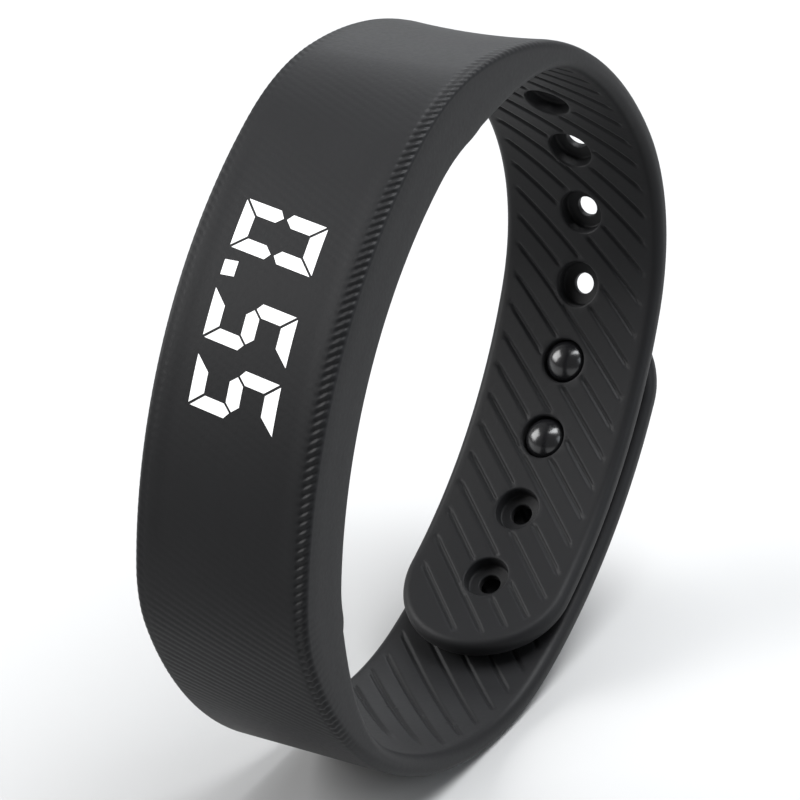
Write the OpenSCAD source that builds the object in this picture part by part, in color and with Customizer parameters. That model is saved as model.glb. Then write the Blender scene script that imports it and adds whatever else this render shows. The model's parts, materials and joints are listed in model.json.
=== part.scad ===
// Fitness tracker band, closed into a loop that stands upright.
// The loop lies in the XZ plane and its axis is +Y. The origin is at the
// middle of the loop. All sizes are in millimetres.
//
// The band is one chain of arcs. A place on it is named by its heading, the
// direction of travel in degrees: 0 is straight up on the display side, 90 is
// over the top, 180 is straight down at the back. Negative headings run from
// the display side down under the bottom to the free end with the studs.

/* [Band] */
// Width of the band
strap_w = 18.2; // [17.2:0.1:18.8]
// Thickness of the straps
strap_t = 2.2; // [2.1:0.1:2.4]
// Gap between the two straps where they overlap
strap_gap = 1; // [0.8:0.1:1.1]
// Rounding of the long edges
edge_r = 0.9; // [0.6:0.1:1]
// Thickness of the sleeve's side walls, from face to wrist
sleeve_t = 6.2; // [5.9:0.1:6.4]

/* [Loop] */
// Radius of the display face
face_r = 49.5; // [48:0.5:51]
// Radius of the bend below the display
low_bend_r = 15.5; // [15:0.5:17]
// Radius of the bend above the display
top_bend_r = 22; // [21:0.5:23]
// Radius of the back, where the straps overlap
overlap_r = 50; // [48:1:52]

/* [Fastening] */
// Distance between neighbouring strap holes
hole_pitch = 8.6; // [8.4:0.1:8.8]
// Number of strap holes
hole_count = 8; // [7:1:8]
// Distance along the strap from the display face's top to the first hole
first_hole_s = 44.7; // [44:0.1:45]
// Radius of the stud's head
stud_head_r = 2.3; // [2:0.05:2.35]
// Radius of the stud's neck
stud_neck_r = 1; // [0.9:0.05:1.05]

/* [Display] */
// Height of a digit, across the band
digit_h = 9; // [8.4:0.1:9.4]
// Width of a digit, along the band
digit_w = 4.6; // [4.2:0.1:4.9]
// Width of the segments that run along the band
segment_t = 1.4; // [1.1:0.05:1.5]
// Slant of the digits in degrees
digit_slant = 9; // [4:1:10]
// Distance between the last two digits
digit_pitch = 6; // [5.8:0.1:6.2]

/* [Capsule] */
// Length of the capsule
capsule_l = 35.8; // [35.4:0.1:36]
// Width of the capsule
capsule_w = 14.3; // [14.1:0.1:14.4]
// Wall of the capsule
wall = 0.8; // [0.7:0.05:0.85]

/* [Hidden] */
$fn = 96;
corner_fn = 32;

// Small distances used throughout
eps = 0.01;
slip = 0.05;

// --- The chain of arcs ---------------------------------------------------

// Headings where the arcs meet, from the free end with the studs to the free
// end with the holes. The last two arcs lie inside the first two.
meets = [-180, -155, -110, -85, -15, 10, 60, 88, 150, 205, 255];
face_arc = 5;
outside = strap_gap + strap_t;

function out(h) = [-cos(h), sin(h)];
function step_x(a, b) = cos(a) - cos(b);
function step_z(a, b) = sin(b) - sin(a);
function step_of(r, a, b) = r * [step_x(a, b), step_z(a, b)];
function rounded(v) = round(v * 100) / 100;
// Radii of two arcs, from a to b and from b to c, that together step by s
function two_radii(a, b, c, s) =
  let (d = step_x(a, b) * step_z(b, c) - step_x(b, c) * step_z(a, b))
  [
    rounded((s[0] * step_z(b, c) - s[1] * step_x(b, c)) / d),
    rounded((s[1] * step_x(a, b) - s[0] * step_z(a, b)) / d)
  ];

// The two arcs of the back close the loop that starts under the wrist
under_r = 30.5;
rest_of_loop = step_of(under_r, meets[2], meets[4])
             + step_of(low_bend_r, meets[4], meets[5])
             + step_of(face_r, meets[5], meets[6])
             + step_of(top_bend_r, meets[6], meets[7])
             + step_of(overlap_r, meets[9], meets[2] + 360);
back_radii = two_radii(meets[7], meets[8], meets[9], -rest_of_loop);

// Centre of the arc after one centred at c, where they meet at heading h
function next_centre(c, r, r_next, h) = c + (r - r_next) * out(h);

c_face = [0, 0];
c_top = next_centre(c_face, face_r, top_bend_r, meets[6]);
c_upper = next_centre(c_top, top_bend_r, back_radii[0], meets[7]);
c_back = next_centre(c_upper, back_radii[0], back_radii[1], meets[8]);
c_overlap = next_centre(c_back, back_radii[1], overlap_r, meets[9]);
c_low = next_centre(c_face, face_r, low_bend_r, meets[5]);

// Under the wrist two arcs bring the stud strap outside the hole strap
under_radii = two_radii(meets[2], meets[3], meets[4],
  c_low + low_bend_r * out(meets[4]) - c_overlap - (overlap_r + outside) * out(meets[2]));
c_under = next_centre(c_low, low_bend_r, under_radii[1], meets[4]);
c_turn = next_centre(c_under, under_radii[1], under_radii[0], meets[3]);
c_outer = next_centre(c_turn, under_radii[0], overlap_r + outside, meets[2]);
c_tip = next_centre(c_outer, overlap_r, back_radii[1], meets[1]);

// Origin at the middle of the loop
middle = [
  (c_low[0] - low_bend_r + c_back[0] + back_radii[1]) / 2,
  (c_upper[1] + back_radii[0] + c_turn[1] - under_radii[0]) / 2
];

// Every arc as [centre, outer radius, first heading, last heading]
arc_centres = [c_tip, c_outer, c_turn, c_under, c_low, c_face, c_top, c_upper, c_back, c_overlap];
arc_radii = [
  back_radii[1] + outside, overlap_r + outside, under_radii[0], under_radii[1],
  low_bend_r, face_r, top_bend_r, back_radii[0], back_radii[1], overlap_r
];
arcs = [
  for (i = [0:len(arc_radii) - 1])
    [arc_centres[i] - middle, arc_radii[i], meets[i], meets[i + 1]]
];
function arc_of(h, i = 0) = i >= len(arcs) - 1 || h <= arcs[i][3] ? arcs[i] : arc_of(h, i + 1);
// A point at heading h, n outside the band's outer surface
function spot(h, n = 0) = let (a = arc_of(h)) a[0] + (a[1] + n) * out(h);
// Heading reached after going s along the chain from the start of arc i
function arc_length(i) = arcs[i][1] * (arcs[i][3] - arcs[i][2]) * PI / 180;
function heading_after(s, i) = s <= arc_length(i)
  ? arcs[i][2] + s / arcs[i][1] * 180 / PI
  : heading_after(s - arc_length(i), i + 1);

// Moves children to heading h: local +Z is outward, local +X is onward
module on_band(h, n = 0) {
  p = spot(h, n);
  translate([p[0], 0, p[1]])
    rotate([0, h - 90, 0])
      children();
}

// Moves children in steps from coarse to fine, so that neighbouring arcs
// still meet exactly when positions are written with few digits
module move_finely(p) {
  fine = 100000;
  whole = [round(p[0]), round(p[1])];
  parts = [for (v = p - whole) round(v * fine) / fine];
  rest = p - whole - parts;
  translate([whole[0], 0, whole[1]])
    translate([parts[0], 0, parts[1]])
      translate([rest[0], 0, rest[1]])
        children();
}

// Runs a flat section, with X outward and Y across, along the band
module band_run(from, to) {
  for (a = arcs) {
    lo = max(from, a[2]);
    hi = min(to, a[3]);
    if (hi > lo + eps)
      move_finely(a[0])
        rotate([90, 0, 0])
          rotate_extrude(angle = hi - lo, start = 180 - hi, $fn = 180)
            translate([a[1], 0])
              children();
  }
}

// Section of the band: outer face at X = 0, t thick, with round edges
module band_section(t) {
  translate([-t, edge_r - strap_w / 2])
    square([t, strap_w - 2 * edge_r]);
  translate([edge_r - t, -strap_w / 2])
    square([t - 2 * edge_r, strap_w]);
  for (x = [-edge_r, edge_r - t])
    for (side = [-1, 1])
      translate([x, side * (strap_w / 2 - edge_r)])
        circle(r = edge_r, $fn = corner_fn);
}

// Cuts the end of a strap to a half circle, centred on local Z
module half_round_end(direction) {
  reach = 30;
  depth = 14;
  rotate([0, 0, direction > 0 ? 0 : 180])
    translate([0, 0, -depth / 2])
      linear_extrude(height = depth)
        difference() {
          translate([0, -strap_w])
            square([reach, 2 * strap_w]);
          circle(r = strap_w / 2);
        }
}

// --- Places along the band -----------------------------------------------

// The sleeve is thick from thick_from to thick_to and tapers past both
thick_from = -6;
thick_to = 80;
taper_low = -48;
taper_top = 122;
// The strap hinges, where the rubber bends when the band is opened
bend_low = -64;
bend_under = -98;
bend_clasp = -124;
bend_top = 128;
joint_gap = 0.1;
// Half of a joint gap as an angle on the local radius, in thousandths of a degree
function half_gap(h) = round(joint_gap / 2 / arc_of(h)[1] * 180 / PI * 1000) / 1000;

function hole_heading(k) = heading_after(first_hole_s + (k - 1) * hole_pitch, face_arc + 1);
hole_headings = [for (k = [1:hole_count]) hole_heading(k)];
last_hole = hole_headings[hole_count - 1];
// First of the two holes that hold the studs, counted from the display
stud_hole = 5;
stud_heading = (hole_heading(stud_hole) + hole_heading(stud_hole + 1)) / 2;
// The stud strap's round end is centred a little short of its last stud
stud_end_short = 2;
stud_end_heading = heading_after(
  first_hole_s + (stud_hole - 1) * hole_pitch + stud_end_short, face_arc + 1) - 360;

hole_r = 1.15;
counterbore_r = 2.45;
lip_ring_r = 3.85;
web_t = 0.8;

// --- The capsule's frame: origin at the face's arc centre ------------------

face_heading = (arcs[face_arc][2] + arcs[face_arc][3]) / 2;
module in_capsule_frame() {
  translate([arcs[face_arc][0][0], 0, arcs[face_arc][0][1]])
    rotate([0, face_heading - 90, 0])
      children();
}

module rounded_rect(l, w, r) {
  square([l - 2 * r, w], center = true);
  square([l, w - 2 * r], center = true);
  for (x = [-1, 1])
    for (y = [-1, 1])
      translate([x * (l / 2 - r), y * (w / 2 - r)])
        circle(r = r, $fn = corner_fn);
}

module ring(r_in, r_out, w) {
  rotate([90, 0, 0])
    difference() {
      cylinder(r = r_out, h = w, center = true, $fn = 360);
      cylinder(r = r_in, h = w + 2, center = true, $fn = 360);
    }
}

// A plate that follows the face's curve, between two radii
module curved_plate(r_in, r_out, l, w, corner_r) {
  below = 8;
  intersection() {
    ring(r_in, r_out, w + 2);
    translate([0, 0, r_in - below])
      linear_extrude(height = r_out - r_in + below + 1)
        rounded_rect(l, w, corner_r);
  }
}

// Moves children to an angle along the capsule, local Z radial
module at_angle(a, y = 0) {
  rotate([0, a, 0])
    translate([0, y, 0])
      children();
}

// Layers of the capsule, as distances from the face's arc centre
skin = 1.1;
pocket_top = face_r - skin;
case_top = pocket_top - slip;
room_top = case_top - wall;
seam = face_r - 4.1;
seal_t = 0.4;
rim_t = 0.75;
rim_bottom = seam - seal_t - slip - rim_t;
lip_top = rim_bottom - slip;
lip_bottom = face_r - sleeve_t;
back = face_r - 9.1;
room_bottom = back + wall;
board_top = face_r - 3.1;
board_bottom = board_top - 0.4;
pocket_l = capsule_l + 0.2;
pocket_w = capsule_w + 0.2;
corner_r = 2.5;
step = 1.15;
cavity_l = capsule_l - 2 * wall;
cavity_w = capsule_w - 2 * wall;

// --- Digits --------------------------------------------------------------

// Digits read down the band: their tops point to -Y, their right to local -X
first_digit_x = 9.9;
second_digit_x = 1.6;
digits_y = 0.4;
point_x = 6.4;
point_size = 1.4;
segment_gap = 0.19;
// Segments that run across the band are slimmer by this factor
cross_slim = 0.87;

// Outline of one segment in a digit w wide and h high, origin at its corner
function segment_points(name, w, h, t, g) =
  name == "a" ? [[g, h], [w - g, h], [w - t - g, h - t], [t + g, h - t]] :
  name == "d" ? [[t + g, t], [w - t - g, t], [w - g, 0], [g, 0]] :
  name == "f" ? [[0, h - g], [t, h - t - g], [t, h / 2 + t / 2 + g], [t / 2, h / 2 + g], [0, h / 2 + t / 2]] :
  name == "e" ? [[0, g], [t, t + g], [t, h / 2 - t / 2 - g], [t / 2, h / 2 - g], [0, h / 2 - t / 2]] :
  name == "b" ? [[w, h - g], [w - t, h - t - g], [w - t, h / 2 + t / 2 + g], [w - t / 2, h / 2 + g], [w, h / 2 + t / 2]] :
  name == "c" ? [[w, g], [w - t, t + g], [w - t, h / 2 - t / 2 - g], [w - t / 2, h / 2 - g], [w, h / 2 - t / 2]] :
  [[t / 2 + g, h / 2], [t + g, h / 2 + t / 2], [w - t - g, h / 2 + t / 2],
   [w - t / 2 - g, h / 2], [w - t - g, h / 2 - t / 2], [t + g, h / 2 - t / 2]];

// Segment polygons of one digit, grown by c on every side, in capsule X and Y
module digit_flat(x, names, c = 0) {
  w = digit_w / cross_slim + 2 * c;
  h = digit_h + 2 * c;
  for (name = names)
    polygon([
      for (p = segment_points(name, w, h, segment_t + 2 * c, segment_gap - c))
        let (u = cross_slim * (p[0] - w / 2), v = p[1] - h / 2)
          [x - u - v * tan(digit_slant), digits_y - v]
    ]);
}

module point_flat(c = 0) {
  size = point_size + 2 * c;
  translate([point_x, digits_y + digit_h / 2 - point_size / 2])
    square([size, size], center = true);
}

lit_zero = ["a", "b", "c", "d", "e", "f"];
lit_five = ["a", "c", "d", "f", "g"];
all_segments = ["a", "b", "c", "d", "e", "f", "g"];
digit_x = [first_digit_x, second_digit_x, second_digit_x - digit_pitch];

// Everything that is lit, as one flat shape
module lit_flat(c = 0) {
  digit_flat(digit_x[0], lit_zero, c);
  digit_flat(digit_x[1], lit_five, c);
  digit_flat(digit_x[2], lit_five, c);
  point_flat(c);
}

// Stands a flat shape up between two radii of the face
module rise(r_in, r_out) {
  below = 6;
  intersection() {
    ring(r_in, r_out, strap_w);
    translate([0, 0, r_in - below])
      linear_extrude(height = r_out - r_in + below + 1)
        children();
  }
}

// --- The band ------------------------------------------------------------

rubber = [0.16, 0.16, 0.17];

// Cut that turns the step between two thicknesses into a soft taper of short
// flats. It ends a hair outside the thin strap's inner face, and runs a little
// past both ends.
module taper_cut(h_thick, h_thin) {
  flats = 6;
  inward = 14;
  hair = 0.05;
  past = 0.3;
  function ease(u) = u * u * (3 - 2 * u);
  thin_n = hair - strap_t;
  face = [
    for (u = [0:1 / flats:1 + eps])
      spot(h_thin + u * (h_thick - h_thin), thin_n + ease(u) * (-sleeve_t - thin_n))
  ];
  start = face[0] + past * (face[0] - face[1]);
  end = face[flats] + past * (face[flats] - face[flats - 1]);
  rotate([90, 0, 0])
    linear_extrude(height = strap_w + 2, center = true)
      polygon(concat(
        [start], face, [end, end - inward * out(h_thick), start - inward * out(h_thin)]
      ));
}

module sleeve() {
  color(rubber)
    difference() {
      union() {
        band_run(bend_low + half_gap(bend_low), bend_top - half_gap(bend_top))
          band_section(strap_t);
        difference() {
          band_run(taper_low, taper_top)
            band_section(sleeve_t);
          taper_cut(thick_from, taper_low);
          taper_cut(thick_to, taper_top);
        }
      }
      in_capsule_frame()
        curved_plate(lip_bottom - 8, pocket_top, pocket_l, pocket_w, corner_r);
      in_capsule_frame()
        rise(pocket_top - 1, face_r + 1)
          lit_flat(slip);
    }
}

// Rubber lip that holds the capsule's rim in the pocket
module pocket_lip() {
  lip_in = 0.2;
  color(rubber)
    in_capsule_frame()
      difference() {
        curved_plate(lip_bottom, lip_top, pocket_l, pocket_w, corner_r);
        curved_plate(lip_bottom - 1, lip_top + 1,
                     capsule_l - 2 * step + lip_in, capsule_w - 2 * step + lip_in, corner_r - step);
      }
}

module hole_strap() {
  bore_depth = 8;
  color(rubber)
    difference() {
      band_run(bend_top + half_gap(bend_top), meets[10])
        band_section(strap_t);
      on_band(last_hole)
        half_round_end(1);
      for (h = hole_headings)
        on_band(h)
          cylinder(r = lip_ring_r, h = bore_depth, center = true);
    }
}

// Stepped rings around the strap holes: the rubber that a stud stretches
module strap_hole_lips() {
  reach = 8;
  half_run = 11;
  color(rubber)
    for (h = hole_headings)
      difference() {
        intersection() {
          band_run(round(h) - half_run, round(h) + half_run)
            band_section(strap_t);
          on_band(h)
            cylinder(r = lip_ring_r, h = reach, center = true);
        }
        on_band(h)
          cylinder(r = hole_r, h = reach, center = true);
        on_band(h, -web_t)
          translate([0, 0, -reach])
            cylinder(r = counterbore_r, h = reach);
      }
}

module stud_strap_lower() {
  color(rubber)
    band_run(bend_under + half_gap(bend_under), bend_low - half_gap(bend_low))
      band_section(strap_t);
}

module stud_strap_middle() {
  color(rubber)
    band_run(bend_clasp + half_gap(bend_clasp), bend_under - half_gap(bend_under))
      band_section(strap_t);
}

// Places along the studs, from the hole strap's outer face at the clasp
plate_bottom = outside - 1.15;
plate_t = 1.1;
plate_l = 17.5;
plate_w = 7.4;

module stadium(l, w) {
  square([l - w, w], center = true);
  for (x = [-1, 1])
    translate([x * (l - w) / 2, 0])
      circle(r = w / 2);
}

// Moves children to both studs, which stand side by side on the plate
module at_studs() {
  for (x = [-1, 1])
    on_band(stud_heading)
      translate([x * hole_pitch / 2, 0, 0])
        children();
}

module stud_strap_end() {
  neck_room = 0.05;
  color(rubber)
    difference() {
      band_run(meets[0], bend_clasp - half_gap(bend_clasp))
        band_section(strap_t);
      on_band(stud_end_heading)
        half_round_end(-1);
      on_band(stud_heading)
        translate([0, 0, plate_bottom])
          linear_extrude(height = 4)
            stadium(plate_l + 2 * slip, plate_w + 2 * slip);
      at_studs()
        cylinder(r = stud_neck_r + neck_room, h = plate_bottom + 1);
    }
}

module clasp_plate() {
  bevel = 0.3;
  color([0.1, 0.1, 0.11])
    on_band(stud_heading)
      translate([0, 0, plate_bottom]) {
        linear_extrude(height = plate_t - bevel)
          stadium(plate_l, plate_w);
        linear_extrude(height = plate_t)
          stadium(plate_l - 2 * bevel, plate_w - 2 * bevel);
      }
}

// Two studs: a neck through both straps and a domed head on the wrist side
module clasp_studs() {
  head_top = -1.3;
  head_rim = 0.35;
  dome_h = 1.4;
  dome_r = (stud_head_r * stud_head_r + dome_h * dome_h) / (2 * dome_h);
  color([0.06, 0.06, 0.06])
    at_studs() {
      translate([0, 0, head_top - head_rim])
        cylinder(r = stud_neck_r, h = plate_bottom - head_top + head_rim);
      translate([0, 0, head_top - head_rim])
        cylinder(r = stud_head_r, h = head_rim);
      intersection() {
        translate([0, 0, head_top - head_rim + dome_r - dome_h])
          sphere(r = dome_r);
        translate([0, 0, head_top - head_rim - 2 * dome_h])
          cylinder(r = stud_head_r, h = 2 * dome_h);
      }
    }
}

// --- The capsule's shells ------------------------------------------------

window_l = 22.4;
window_w = 10.8;
window_x = 2.75;
window_corner = 1;
key_angle = -17.5;
key_r = 2.2;
key_flange_r = 2.7;

module front_case() {
  color([0.08, 0.08, 0.085])
    in_capsule_frame()
      difference() {
        curved_plate(seam, case_top, capsule_l, capsule_w, corner_r);
        curved_plate(seam - 1, room_top, cavity_l, cavity_w, corner_r - wall);
        rise(room_top - 1, case_top + 1)
          translate([window_x, 0])
            rounded_rect(window_l + 2 * slip, window_w + 2 * slip, window_corner);
        at_angle(key_angle)
          translate([0, 0, room_top - 1])
            cylinder(r = key_r + slip, h = 3);
      }
}

module display_window() {
  color([0.03, 0.03, 0.035])
    in_capsule_frame()
      rise(room_top, case_top)
        translate([window_x, 0])
          rounded_rect(window_l, window_w, window_corner);
}

module back_cover() {
  rim_top = rim_bottom + rim_t;
  color([0.1, 0.1, 0.1])
    in_capsule_frame()
      difference() {
        union() {
          curved_plate(rim_bottom, rim_top, capsule_l, capsule_w, corner_r);
          curved_plate(back, rim_bottom + eps, capsule_l - 2 * step, capsule_w - 2 * step, corner_r - step);
        }
        curved_plate(room_bottom, rim_top + 1,
                     capsule_l - 2 * (step + wall), capsule_w - 2 * (step + wall), 0.5);
        at_contacts()
          translate([0, 0, back - 1])
            cylinder(r = contact_r, h = 4);
      }
}

module case_seal() {
  color([0.5, 0.12, 0.1])
    in_capsule_frame()
      difference() {
        curved_plate(seam - seal_t, seam, capsule_l, capsule_w, corner_r);
        curved_plate(seam - seal_t - 1, seam + 1, cavity_l, cavity_w, corner_r - wall);
      }
}

// --- Display -------------------------------------------------------------

block_bottom = board_top + 0.5;

module light_block() {
  color([0.85, 0.85, 0.85])
    in_capsule_frame()
      difference() {
        rise(block_bottom, room_top - slip)
          translate([window_x, 0])
            rounded_rect(window_l - 0.4, window_w - 0.4, window_corner);
        rise(block_bottom - 1, room_top + 1) {
          for (x = digit_x)
            digit_flat(x, all_segments);
          point_flat();
        }
      }
}

// Light guides of one digit, from the window up to the face of the band
module lit_digit(x, names) {
  color("white")
    in_capsule_frame()
      rise(case_top + 0.01, face_r)
        digit_flat(x, names);
}

module digit_one() {
  lit_digit(digit_x[0], lit_zero);
}

module digit_two() {
  lit_digit(digit_x[1], lit_five);
}

module digit_three() {
  lit_digit(digit_x[2], lit_five);
}

module decimal_point() {
  color("white")
    in_capsule_frame()
      rise(case_top + 0.01, face_r)
        point_flat();
}

// One light-emitting chip under the middle of every segment
module display_leds() {
  chip = [0.8, 0.5, 0.35];
  function middle_of(p) = [
    for (k = [0, 1]) let (v = [for (q = p) q[k]]) (min(v) + max(v)) / 2
  ];
  color([1, 0.95, 0.7])
    in_capsule_frame()
      for (x = digit_x)
        for (name = all_segments) {
          w = digit_w / cross_slim;
          m = middle_of(segment_points(name, w, digit_h, segment_t, segment_gap));
          v = m[1] - digit_h / 2;
          px = x - cross_slim * (m[0] - w / 2) - v * tan(digit_slant);
          at_angle(asin(px / board_top), digits_y - v)
            translate([0, 0, board_top + chip[2] / 2 + 0.03])
              cube(chip, center = true);
        }
}

// --- Electronics ---------------------------------------------------------

board_l = cavity_l - 1;
board_w = cavity_w - 0.6;

module flex_board() {
  color([0.1, 0.35, 0.15])
    in_capsule_frame()
      curved_plate(board_bottom, board_top, board_l, board_w, 0.8);
}

// A chip hanging from the inner side of the board
module under_board(angle, y, l, w, t) {
  flat_room = 0.12;
  in_capsule_frame()
    at_angle(angle, y)
      translate([-l / 2, -w / 2, board_bottom - flat_room - t])
        cube([l, w, t]);
}

module microcontroller() {
  color([0.07, 0.07, 0.07])
    under_board(5, 0, 4, 4, 0.75);
}

module motion_sensor() {
  color([0.12, 0.12, 0.13])
    under_board(-4, 1.5, 2, 2, 0.75);
}

module crystal() {
  color([0.75, 0.75, 0.72])
    under_board(17.5, 0, 2, 1.2, 0.6);
}

module chip_capacitors() {
  color([0.62, 0.5, 0.35])
    for (y = [-4.6, -3.4, 3.4, 4.6])
      under_board(5, y, 1, 0.5, 0.5);
}

battery = [18.4, 9.8, 2.7];
battery_z = room_bottom + 0.5;

module battery_cell() {
  color([0.75, 0.76, 0.78])
    in_capsule_frame()
      translate([0, 0, battery_z])
        linear_extrude(height = battery[2])
          rounded_rect(battery[0], battery[1], 1);
}

module battery_tape() {
  tape = [12, 8];
  tape_t = 0.4;
  color([0.9, 0.9, 0.85])
    in_capsule_frame()
      translate([0, 0, battery_z - tape_t])
        linear_extrude(height = tape_t)
          rounded_rect(tape[0], tape[1], 0.5);
}

// Two leads, each from the cell's end to the board
module battery_leads() {
  lead_r = 0.25;
  run = 1.2;
  z = battery_z + 1.6;
  x = -battery[0] / 2 - run;
  top = sqrt(board_bottom * board_bottom - x * x) - 0.15;
  for (side = [-1, 1])
    color(side > 0 ? [0.75, 0.1, 0.08] : [0.05, 0.05, 0.05])
      in_capsule_frame()
        translate([x, side * 3, z]) {
          rotate([0, 90, 0])
            cylinder(r = lead_r, h = run, $fn = corner_fn);
          sphere(r = lead_r, $fn = corner_fn);
          cylinder(r = lead_r, h = top - z, $fn = corner_fn);
        }
}

contact_r = 0.8;
contact_angles = [14.5, 18.9];
contact_y = 2.4;
module at_contacts() {
  for (a = contact_angles)
    for (side = [-1, 1])
      at_angle(a, side * contact_y)
        children();
}

module charge_contacts() {
  proud = 0.05;
  short = 0.05;
  color([0.85, 0.68, 0.3])
    in_capsule_frame()
      at_contacts()
        translate([0, 0, back - proud])
          cylinder(r = contact_r, h = board_bottom - back + proud - short);
}

// --- Key -----------------------------------------------------------------

switch_body = 3;
switch_t = 0.45;
switch_base = board_top + 0.03;
plunger_r = 0.6;
key_base = switch_base + switch_t + 0.3;

module key_switch() {
  color([0.8, 0.8, 0.8])
    in_capsule_frame()
      at_angle(key_angle)
        difference() {
          translate([0, 0, switch_base + switch_t / 2])
            cube([switch_body, switch_body, switch_t], center = true);
          translate([0, 0, switch_base + 0.08])
            cylinder(r = plunger_r + slip, h = 1);
        }
}

module switch_plunger() {
  sunk = 0.08;
  color([0.15, 0.15, 0.15])
    in_capsule_frame()
      at_angle(key_angle)
        translate([0, 0, switch_base + switch_t - sunk])
          cylinder(r = plunger_r, h = key_base - switch_base - switch_t + sunk);
}

module press_key() {
  flange_t = 0.2;
  color([0.2, 0.2, 0.2])
    in_capsule_frame()
      at_angle(key_angle)
        translate([0, 0, key_base]) {
          cylinder(r = key_flange_r, h = flange_t);
          cylinder(r = key_r, h = case_top - slip - key_base);
        }
}

sleeve();
pocket_lip();
hole_strap();
strap_hole_lips();
stud_strap_lower();
stud_strap_middle();
stud_strap_end();
clasp_plate();
clasp_studs();
front_case();
back_cover();
case_seal();
display_window();
light_block();
digit_one();
decimal_point();
digit_two();
digit_three();
display_leds();
flex_board();
microcontroller();
motion_sensor();
crystal();
chip_capacitors();
battery_cell();
battery_tape();
battery_leads();
charge_contacts();
key_switch();
switch_plunger();
press_key();
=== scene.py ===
"""Looks of the fitness tracker band: a moulded rubber skin, turned studs and finished materials
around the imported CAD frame. Lengths are in millimetres until they become vertices."""

import json
import math

import bpy
import numpy as np
from mathutils import Matrix, Vector
from mathutils.geometry import delaunay_2d_cdt

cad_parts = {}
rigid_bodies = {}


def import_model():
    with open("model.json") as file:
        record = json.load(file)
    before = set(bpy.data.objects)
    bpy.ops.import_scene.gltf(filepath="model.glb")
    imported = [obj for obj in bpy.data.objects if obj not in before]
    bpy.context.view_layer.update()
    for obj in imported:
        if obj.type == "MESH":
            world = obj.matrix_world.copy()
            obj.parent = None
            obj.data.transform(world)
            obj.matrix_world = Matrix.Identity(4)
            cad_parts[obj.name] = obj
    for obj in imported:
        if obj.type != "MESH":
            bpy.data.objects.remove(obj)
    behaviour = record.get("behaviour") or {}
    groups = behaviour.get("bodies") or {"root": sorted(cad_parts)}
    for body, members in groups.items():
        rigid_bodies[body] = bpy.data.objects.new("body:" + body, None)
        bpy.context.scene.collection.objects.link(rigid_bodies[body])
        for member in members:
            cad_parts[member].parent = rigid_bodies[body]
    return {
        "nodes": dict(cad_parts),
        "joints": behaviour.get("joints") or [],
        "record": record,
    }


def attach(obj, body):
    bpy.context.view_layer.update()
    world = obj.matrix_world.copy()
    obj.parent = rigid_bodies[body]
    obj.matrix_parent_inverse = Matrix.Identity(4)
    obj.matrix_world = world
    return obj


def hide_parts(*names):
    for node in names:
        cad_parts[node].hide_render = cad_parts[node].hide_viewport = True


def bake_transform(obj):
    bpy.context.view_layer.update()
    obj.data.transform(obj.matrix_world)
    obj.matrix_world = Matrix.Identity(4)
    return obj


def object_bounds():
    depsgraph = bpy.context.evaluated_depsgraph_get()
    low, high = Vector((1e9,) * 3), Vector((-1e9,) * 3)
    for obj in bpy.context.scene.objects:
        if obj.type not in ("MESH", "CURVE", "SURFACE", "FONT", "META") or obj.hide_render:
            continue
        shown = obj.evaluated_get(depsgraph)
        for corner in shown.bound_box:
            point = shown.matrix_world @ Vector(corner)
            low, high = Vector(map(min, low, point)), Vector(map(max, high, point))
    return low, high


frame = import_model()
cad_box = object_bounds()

MM = 0.001

# ---- The band's chain of arcs, the same one that the CAD model runs its solids along ----------
# A place along it is a heading in degrees: 0 straight up on the display side, 90 over the top,
# 180 down the back. Negative headings run under the wrist to the free end with the studs.

BAND_W = 18.2
STRAP_T = 2.2
STRAP_GAP = 1.0
SLEEVE_T = 6.2
RIM_W, STRAP_EDGE_R = 1.35, 0.95
HALF_W = BAND_W / 2
FLAT_W = HALF_W - RIM_W
OUTSIDE = STRAP_GAP + STRAP_T
MEETS = np.array([-180, -155, -110, -85, -15, 10, 60, 88, 150, 205, 255], float)
OVERLAP_R, UNDER_R, LOW_R, FACE_R, TOP_R = 50.0, 30.5, 15.5, 49.5, 22.0


def out(h):
    """Direction out of the band at a heading, as (x, z)."""
    return np.array([-math.cos(math.radians(h)), math.sin(math.radians(h))])


def step(a, b):
    """How far an arc of radius 1 goes from heading a to heading b, as (x, z)."""
    a, b = math.radians(a), math.radians(b)
    return np.array([math.cos(a) - math.cos(b), math.sin(b) - math.sin(a)])


def two_radii(a, b, c, gap):
    """Radii of two arcs, from a to b and from b to c, that together cross a gap."""
    return np.round(np.linalg.solve(np.stack([step(a, b), step(b, c)], axis=1), gap), 2)


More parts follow.
